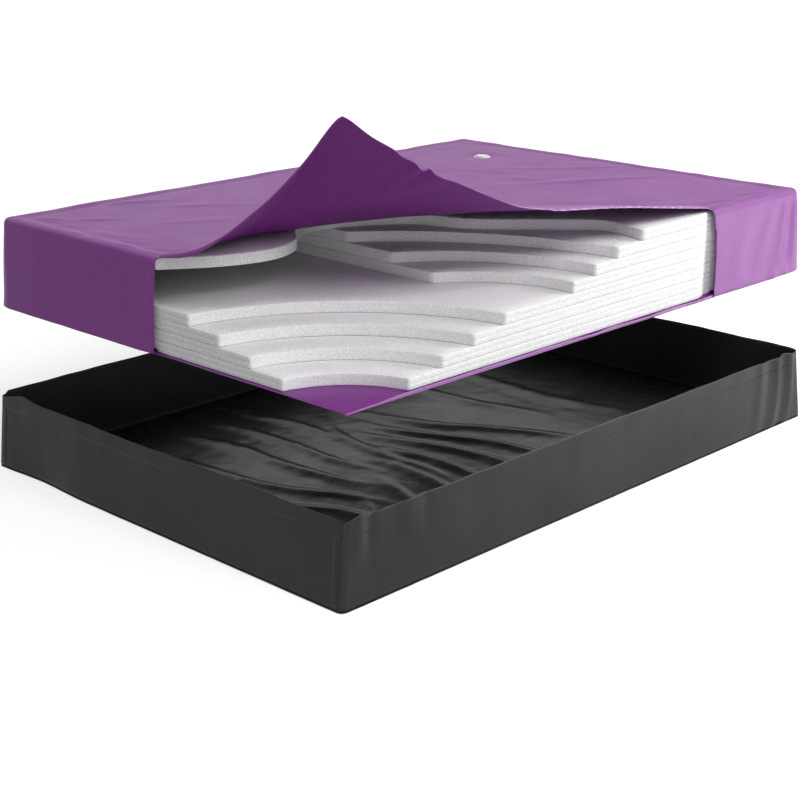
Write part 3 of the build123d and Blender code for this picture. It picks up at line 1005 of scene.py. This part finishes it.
def clean_outline(points):
    """The outline with long runs divided, also beside each groove, and close points dropped."""
    middles = np.arange(-1.2, 1.2, groove_pitch) + groove_start
    grooves = [middle + side for middle in middles for side in (-0.003, 0.0, 0.003)]
    out = []
    for a, b in zip(points, points[1:] + points[:1]):
        gap = hypot(b[0] - a[0], b[1] - a[1])
        if gap < shortest_run:
            continue
        count = max(1, int(gap / outline_step))
        shares = [k / count for k in range(count)]
        axis = 0 if abs(b[0] - a[0]) > abs(b[1] - a[1]) else 1
        if gap > grooved_run:
            beside_grooves = [(mark - a[axis]) / (b[axis] - a[axis]) for mark in grooves]
            shares += [share for share in beside_grooves if 0.01 < share < 0.99]
        out += [(a[0] + (b[0] - a[0]) * share, a[1] + (b[1] - a[1]) * share) for share in sorted(shares)]
    return [p for p, q in zip(out, out[1:] + out[:1]) if dist(p, q) > least_step]


def runs_left(points):
    """Whether a closed outline has its inside on the left."""
    return sum(a[0] * b[1] - b[0] * a[1] for a, b in zip(points, points[1:] + points[:1])) > 0


def inward(points):
    """Direction towards the inside at each point of a closed outline."""
    pts = np.array(points)
    ahead = np.roll(pts, -1, axis=0) - pts
    behind = pts - np.roll(pts, 1, axis=0)
    ahead /= np.linalg.norm(ahead, axis=1)[:, None]
    behind /= np.linalg.norm(behind, axis=1)[:, None]
    mean = ahead + behind
    mean /= np.maximum(np.linalg.norm(mean, axis=1), 1e-9)[:, None]
    side = 1.0 if runs_left(points) else -1.0
    stretch = np.clip(1 / np.maximum(np.abs((ahead * mean).sum(1)), 0.5), 1, 1.6)
    return np.stack([-mean[:, 1], mean[:, 0]], 1) * side * stretch[:, None]


# Fiber layers: bodies

# Rows of a layer's side from the bottom up: share of the height, inset, share of the middle groove
side_rows = (
    (0.0, 0.0013, 0), (0.02, 0.0005, 0), (0.06, 0.0001, 0), (0.2, 0.0, 0), (0.34, 0.0, 0),
    (0.46, 0.0, 0.2), (0.5, 0.0, 1), (0.54, 0.0, 0.2), (0.66, 0.0, 0), (0.8, 0.0, 0),
    (0.94, 0.0002, 0), (0.98, 0.0006, 0), (1.0, 0.0016, 0),
)
middle_groove_depth = 0.0008
fill_step = 0.055
top_roughness = 0.00035


def fill(outline, flip):
    """Points and triangles of a flat surface, and each point's number in the outline or -1."""
    pts = np.array(outline)
    low, high = pts.min(0), pts.max(0)
    x0, y0 = pts[:, 0], pts[:, 1]
    x1, y1 = np.roll(x0, -1), np.roll(y0, -1)
    inner = []
    for gx in np.arange(low[0] + fill_step / 2, high[0], fill_step):
        for gy in np.arange(low[1] + fill_step / 2, high[1], fill_step):
            crossing = ((y0 > gy) != (y1 > gy)) & (gx < (x1 - x0) * (gy - y0) / (y1 - y0 + 1e-12) + x0)
            if crossing.sum() % 2 and np.min(np.hypot(x0 - gx, y0 - gy)) > fill_step * 0.4:
                inner.append(Vector((gx, gy)))
    count = len(outline)
    edges = [(i, (i + 1) % count) for i in range(count)]
    outer = [Vector(p) for p in outline]
    points, _, faces, origins = delaunay_2d_cdt(outer + inner, edges, [], 1, 1e-7)[:4]
    return points, [f[::-1] if flip else f for f in faces], [o[0] if o else -1 for o in origins]


def rolled_back(gap, radius):
    """How far a rolled edge of some radius stands back at a distance from its end."""
    return radius - sqrt(max(0.0, radius * radius - (radius - gap) ** 2)) if gap < radius else 0.0


def outside_inset(x, y, z, groove):
    """How far a layer's outside stands back where the bag rolls, at grooves and by the cut walls."""
    past_foot = smooth(foot_wall_end - 0.01, foot_wall_end + 0.06, x)
    past_right = 1 - smooth(right_wall_end - 0.06, right_wall_end + 0.01, y)
    behind_walls = x < foot_wall_end - 0.012 or y > right_wall_end + 0.012
    radius = edge_radius - fiber_setback
    inset = rolled_back(z - fiber_bottom, radius * behind_walls)
    inset += rolled_back(mattress_top - vinyl_thickness - z, radius * (1 - min(past_foot, past_right)))
    inset *= 0.6 + 0.4 * behind_walls
    along = x if abs(y) > fiber_half_y - outside_margin else y
    phase = (along - groove_start + groove_pitch / 2) % groove_pitch
    inset += middle_groove_depth * groove + groove_depth * bell(phase, groove_pitch / 2, groove_half)
    if x > 0:
        inset += 0.0045 * smooth(right_wall_end - 0.08, right_wall_end, y)
        inset += 0.0125 * bell(y, right_wall_end - 0.006, 0.038)
    if y < 0:
        inset += 0.0025 * bell(x, foot_wall_end, 0.022)
    return inset


def build_layer(index):
    """One fiber layer: rows of points round its side, closed by a bottom and a slightly rough top."""
    low = fiber_bottom + index * layer_thickness + layer_gap
    height = layer_thickness - 2 * layer_gap
    outline = clean_outline(layer_outline(index))
    count = len(outline)
    inside = inward(outline)
    verts = []
    for t, inset, groove in side_rows:
        z = low + height * t
        for (x, y), (nx, ny) in zip(outline, inside):
            rough = 0.0007 * wave(x, y, z, 0.01, 20 + index)
            rough += 0.001 * wave(x, y, z * 0.5, 0.06, 30 + index)
            push = inset + rough
            if abs(x) > fiber_half_x - outside_margin or abs(y) > fiber_half_y - outside_margin:
                push = inset + outside_inset(x, y, z, groove) + abs(rough)
            verts.append((x + nx * push, y + ny * push, z))
    faces = grid_faces(len(side_rows), count, closed=True, flip=not runs_left(outline))
    for first, roughness, flip in ((0, 0.0, True), (len(verts) - count, top_roughness, False)):
        ring = verts[first:first + count]
        points, cap, sources = fill([p[:2] for p in ring], flip)
        numbers = []
        for (x, y), source in zip(points, sources):
            if 0 <= source < count:
                numbers.append(first + source)
            else:
                numbers.append(len(verts))
                verts.append((x, y, ring[0][2] + roughness * wave(x, y, 0, 0.08, 40 + index)))
        faces += [tuple(numbers[i] for i in f) for f in cap]
    pad = make_object(f"fiber_pad_{index + 1}", verts, faces, [layer_fiber])
    dress(pad, "mattress", "fiber", f"fiber_layer_{index + 1}")
    return pad


pads = [build_layer(i) for i in range(lower_layer_count + len(upper_arc_shares) + 1)]


# Liner: floor film

# Long folds of the floor film: start, end, height and half width
floor_folds = (
    ((-0.75, -0.3), (-0.2, -0.18), 0.0075, 0.02),
    ((-0.7, -0.42), (0.05, -0.3), 0.007, 0.018),
    ((-0.6, -0.58), (0.15, -0.4), 0.008, 0.022),
    ((-0.4, -0.72), (0.3, -0.52), 0.0065, 0.018),
    ((-0.2, -0.86), (0.45, -0.62), 0.0075, 0.022),
    ((0.05, -0.98), (0.6, -0.74), 0.006, 0.02),
    ((-0.3, -0.1), (0.3, -0.25), 0.007, 0.02),
    ((-0.26, 0.09), (0.36, 0.33), 0.008, 0.022),
    ((-0.18, 0.02), (0.42, 0.16), 0.0085, 0.02),
    ((-0.1, -0.06), (0.5, 0.02), 0.008, 0.022),
    ((0.0, -0.16), (0.6, -0.14), 0.0075, 0.02),
    ((0.1, -0.28), (0.68, -0.3), 0.007, 0.022),
    ((0.2, -0.4), (0.72, -0.47), 0.0065, 0.02),
    ((0.28, -0.55), (0.74, -0.64), 0.006, 0.018),
    ((-0.6, 0.3), (0.1, 0.5), 0.0055, 0.024),
    ((-0.5, 0.62), (0.3, 0.72), 0.005, 0.026),
)
floor_step = 0.0095
floor_film_thickness = 0.0003
floor_inset_share = 0.9985  # keeps the floor film inside the wall film
floor_lift = 0.0004
tallest_wrinkle = 0.009

# How far the film walls lean out at the floor, by side
foot_lean = 0.036
right_lean = 0.02
head_lean = 0.018
foot_top_lean = 0.008  # of the foot wall's rim, towards the left


def lean_out(x, y, z):
    """The place in plan of a point of the liner, whose film walls lean out towards the floor."""
    lean = 1 - min(1.0, z / liner_height)
    foot = foot_lean * (1 - 0.3 * bell(x, -0.55, 0.14)) * lean
    foot += foot_top_lean * (1 - lean) * smooth(-0.5, 0.7, -x)
    dx = right_lean * lean * smooth(0.6, 0.78, x)
    dy = head_lean * lean * smooth(0.9, 1.08, y) - foot * smooth(0.9, 1.085, -y)
    return x + dx, y + dy


def floor_height(x, y):
    """Height of the wrinkled floor film, whose folds wander and are steeper on one side."""
    total = 0.0
    for start, end, height, half in floor_folds:
        t, away = beside(x, y, start, end)
        away += 0.035 * sin(t * 4.2 + start[0] * 9) + 0.02 * wave(x, y, start[1], 0.22, 50)
        if -0.4 < t < 1.4 and abs(away) < 4 * half:
            slope = 0.6 if away > 0 else 1.25
            fold = height * bell(away * slope, 0, half)
            total += fold * smooth(-0.25, 0.25, t) * (1 - smooth(0.75, 1.2, t))
    total += 0.0013 * (1 + wave(x, y, 0, 0.1, 51)) + 0.0006 * (1 + wave(x, y, 0, 0.035, 52))
    total *= smooth(0.03, 0.11, min(liner_half_x - abs(x), liner_half_y - abs(y)))
    total = total * 0.85 + 0.0006 * (1 + wave(x, y, 0, 0.05, 53))
    return floor_lift + min(tallest_wrinkle, total)


def build_floor():
    """The floor film as a grid, pulled in at its round corners."""
    columns, rows = int(liner_width / floor_step), int(liner_length / floor_step)
    in_x, in_y = liner_half_x - liner_corner_radius, liner_half_y - liner_corner_radius

    def point(x, y):
        if abs(x) > in_x and abs(y) > in_y:
            cx, cy = copysign(in_x, x), copysign(in_y, y)
            scale = max(abs(x - cx), abs(y - cy)) / hypot(x - cx, y - cy)
            x, y = cx + (x - cx) * scale, cy + (y - cy) * scale
        return (*lean_out(x * floor_inset_share, y * floor_inset_share, 0.0), floor_height(x, y))

    xs = [-liner_half_x + liner_width * i / columns for i in range(columns + 1)]
    ys = [-liner_half_y + liner_length * j / rows for j in range(rows + 1)]
    obj = grid_object("liner_floor_film", [[point(x, y) for x in xs] for y in ys], floor_vinyl)
    thicken(obj, floor_film_thickness, 1.0)
    return obj


liner_floor_film = build_floor()
dress(liner_floor_film, "liner", "liner_vinyl", "liner_floor")


# Liner: walls, hem and lap strips

liner_step = 0.011
liner_corner_steps = 12
film_start = 0.0005
film_rows = 26
film_thickness = 0.0008
hem_rows = 8
hem_outset = 0.0004
hem_thickness = 0.0006
liner_lap_rows = 12
liner_lap_outset = 0.0003
liner_lap_thickness = 0.0004
tuck_depth = 0.004  # by which the wall film turns in where it meets the floor
tuck_height = 0.008

# Folds of the right wall and swells of the rims: place, height and half width
head_folds = (
    (1.045, 0.006, 0.012), (1.005, -0.008, 0.013), (0.965, 0.007, 0.013), (0.915, -0.005, 0.018),
    (0.86, 0.004, 0.02),
)
near_folds = ((-1.04, 0.005, 0.02), (-1.0, -0.004, 0.014))
next_folds = ((-0.86, 0.003, 0.03), (-0.79, -0.003, 0.02))
foot_rim_swells = ((-0.655, 0.011, 0.045), (-0.77, -0.012, 0.04), (0.77, -0.004, 0.03))
right_rim_swells = (
    (-1.035, 0.01, 0.018), (-1.0, -0.006, 0.012), (0.93, -0.005, 0.05), (1.06, -0.006, 0.03),
)


def liner_line():
    """Closed outline of the liner from the front corner on, with the direction away from it."""
    r, steps, step = liner_corner_radius, liner_corner_steps, liner_step
    out_x, out_y = liner_half_x, liner_half_y
    ix, iy = out_x - r, out_y - r
    return [
        *turned((ix, -iy), r, -45, 0, steps), *straight((out_x, -iy), (out_x, iy), (1, 0), step),
        *turned((ix, iy), r, 0, 90, steps), *straight((ix, out_y), (-ix, out_y), (0, 1), step),
        *turned((-ix, iy), r, 90, 180, steps), *straight((-out_x, iy), (-out_x, -iy), (-1, 0), step),
        *turned((-ix, -iy), r, 180, 270, steps), *straight((-ix, -out_y), (ix, -out_y), (0, -1), step),
        *turned((ix, -iy), r, 270, 315, steps),
    ]


def liner_push(x, y, z, nx):
    """How far the film wall stands out of its place: negative is inwards."""
    up = z / liner_height
    push = 0.004 * wave(x, y, z * 0.3, 0.3, 60) * up + 0.0018 * wave(x, y, z * 0.2, 0.085, 61) * up
    if nx > side_facing:
        for place, height, half in head_folds:
            fold = height * bell(y, place - 0.05 * (1 - up) ** 2, half * (1.3 - 0.4 * up))
            push += fold * (0.35 + 0.65 * up)
        push += bells(y, near_folds) * smooth(0.25, 0.8, up)
        push += bells(y, next_folds) * smooth(0.3, 0.9, up)
    return push - 0.002


def liner_rim(x, y):
    """Height of the rim above its nominal place."""
    rise = 0.0032 * wave(x, y, 0, 0.24, 62) + 0.0014 * wave(x, y, 0, 0.07, 63)
    if y < -liner_half_y + 0.03:
        rise += bells(x, foot_rim_swells)
    if x > liner_half_x - 0.03:
        rise += bells(y, right_rim_swells)
    return rise - 0.003


def wall_strip(name, low, rows, outset, thickness):
    """A band of film round the liner, from a height up to the rim."""
    def point(x, y, nx, ny, t):
        z = low + (liner_height + liner_rim(x, y) - low) * t
        tuck = tuck_depth * (1 - smooth(0, tuck_height, z)) ** 2
        push = liner_push(x, y, z, nx) + outset - tuck
        return (*lean_out(x + nx * push, y + ny * push, z), z)

    line = liner_line()
    grid = [[point(*place, k / rows) for place in line] for k in range(rows + 1)]
    obj = grid_object(name, grid, liner_film, closed=True)
    thicken(obj, thickness, -1.0)
    return obj


def on_liner(sign):
    """How a strip follows the foot wall, where sign is -1, or the head wall, where it is 1."""
    def push(x, y, z):
        return (*lean_out(x, y + sign * (liner_push(x, y, z, 0) + liner_lap_outset), z), z)
    return push


liner_wall_film = wall_strip("liner_walls_film", film_start, film_rows, 0.0, film_thickness)
dress(
    liner_wall_film, "liner", "liner_vinyl", "liner_foot_wall", "liner_head_wall", "liner_left_wall",
    "liner_right_wall",
)
liner_hem = wall_strip("liner_hem", liner_height - hem_height, hem_rows, hem_outset, hem_thickness)
dress(liner_hem, "liner", "liner_vinyl", "liner_rim_hem")

liner_strip_out = liner_half_x - liner_corner_radius
liner_strip_in = liner_strip_out - lap_width
strips = [
    ((side * liner_strip_out, sign * liner_half_y), (side * liner_strip_in, sign * liner_half_y),
     liner_floor_height, liner_height - hem_height, on_liner(sign))
    for side in (-1, 1) for sign in (-1, 1)
]
liner_laps = lap_strips("liner_laps", strips, liner_lap_rows, liner_lap_thickness, liner_film)
dress(liner_laps, "liner", "liner_vinyl", "liner_corner_laps")


# Valve, kept from the CAD

for name in ("valve_flange", "valve_plug", "valve_cap", "valve_washer"):
    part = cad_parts[name]
    part.data.materials.clear()
    part.data.materials.append(black_rubber if name == "valve_washer" else white_plastic)


# Stage, light and camera

stage_half = 30.0
stage_drop = 0.0006  # keeps the stage floor clear of the liner
world_strength = 0.42
white = (1, 1, 1, 1)

# Soft boxes: place, aimed at, size and power
soft_boxes = {
    "key": ((4.2, -1.0, 5.0), (0.0, 0.0, 0.6), (2.6, 2.6), 185),
    "side": ((3.0, 2.4, 2.2), (0.76, 0.6, 0.7), (2.2, 1.6), 88),
    "glint": ((2.5, 2.7, 0.35), (0.76, 0.7, 0.66), (2.2, 0.9), 25),
    "near": ((3.2, -3.6, 0.65), (0.2, -0.3, 0.35), (2.6, 0.9), 28),
    "rim": ((1.6, 3.6, 3.6), (0.3, 0.3, 0.6), (1.0, 1.0), 32),
    "left": ((-3.3, -1.6, 4.0), (-0.3, -0.8, 0.7), (1.2, 1.2), 26),
}

# Camera fitted to the photo
camera_place = (3.5539, -3.7472, 1.8318)
camera_azimuth = 44.1
camera_elevation = 18.2
camera_lens = 73.12
camera_sensor = 36.0


def seen_rays(tree):
    """1 for camera, glossy and transmission rays, which see a white backdrop, else 0."""
    rays = node(tree, "LightPath").outputs
    first = node(tree, "Math", operation="MAXIMUM")
    second = node(tree, "Math", operation="MAXIMUM")
    wire(tree, (rays["Is Camera Ray"], first.inputs[0]), (rays["Is Glossy Ray"], first.inputs[1]))
    wire(tree, (first.outputs[0], second.inputs[0]), (rays["Is Transmission Ray"], second.inputs[1]))
    return second.outputs[0]


def by_ray(tree, output_kind, seen, others):
    """End a node tree with one shader for the seen rays and another for the rest."""
    output = node(tree, output_kind)
    mix = node(tree, "MixShader")
    wire(tree, (seen_rays(tree), mix.inputs[0]), (others.outputs[0], mix.inputs[1]))
    wire(tree, (seen.outputs[0], mix.inputs[2]), (mix.outputs[0], output.inputs["Surface"]))


def stage_material():
    """White for the seen rays, with more glow away from the middle; plain grey for the others."""
    material = bpy.data.materials.new("stage_floor")
    material.use_nodes = True
    tree = material.node_tree
    tree.nodes.clear()
    plain = node(tree, "BsdfDiffuse", in_Color=(0.35, 0.35, 0.35, 1))
    lit = node(tree, "BsdfDiffuse", in_Color=(0.75, 0.75, 0.75, 1))
    glow = node(tree, "Emission", in_Color=white)
    away = node(tree, "VectorMath", operation="LENGTH")
    strength = node(tree, "MapRange", in_From_Min=1.6, in_From_Max=6.0, in_To_Min=0.45, in_To_Max=0.8)
    both = node(tree, "AddShader")
    wire(tree, (node(tree, "TexCoord").outputs["Object"], away.inputs[0]))
    wire(tree, (away.outputs["Value"], strength.inputs["Value"]))
    wire(tree, (strength.outputs["Result"], glow.inputs["Strength"]))
    wire(tree, (lit.outputs[0], both.inputs[0]), (glow.outputs[0], both.inputs[1]))
    by_ray(tree, "OutputMaterial", both, plain)
    return material


def build_stage():
    """A wide flat floor, which is no piece of the part."""
    corners = ((-1, -1), (1, -1), (1, 1), (-1, 1))
    verts = [(stage_half * x, stage_half * y, -stage_drop) for x, y in corners]
    make_object("stage_floor", verts, [(0, 1, 2, 3)], [stage_material()])


def build_world():
    """White for the seen rays, and even light for the rest."""
    world = bpy.data.worlds.new("studio")
    bpy.context.scene.world = world
    world.use_nodes = True
    tree = world.node_tree
    tree.nodes.clear()
    backdrop = node(tree, "Background", in_Color=white, in_Strength=1.0)
    light = node(tree, "Background", in_Color=white, in_Strength=world_strength)
    by_ray(tree, "OutputWorld", backdrop, light)


def aim(name, data, place, direction):
    """A lamp or camera in the scene, facing a direction."""
    obj = in_scene(name, data)
    obj.location = place
    obj.rotation_mode = "QUATERNION"
    obj.rotation_quaternion = direction.to_track_quat("-Z", "Y")
    return obj


def area_lamp(name, place, target, size, power):
    """A soft box that the camera doesn't see."""
    lamp = bpy.data.lights.new(name, "AREA")
    lamp.shape = "RECTANGLE"
    lamp.size, lamp.size_y = size
    lamp.energy = power
    aim(name, lamp, place, Vector(target) - Vector(place)).visible_camera = False


def build_camera():
    """The camera of the photo."""
    azimuth, elevation = radians(camera_azimuth), radians(camera_elevation)
    flat = cos(elevation)
    ahead = Vector((-sin(azimuth) * flat, cos(azimuth) * flat, -sin(elevation)))
    data = bpy.data.cameras.new("camera")
    data.lens = camera_lens
    data.sensor_width = camera_sensor
    data.clip_end = 200.0
    bpy.context.scene.camera = aim("camera", data, camera_place, ahead)


build_stage()
build_world()
for name, (place, target, size, power) in soft_boxes.items():
    area_lamp(name, place, target, size, power)
build_camera()

bpy.context.scene.view_settings.view_transform = "Standard"
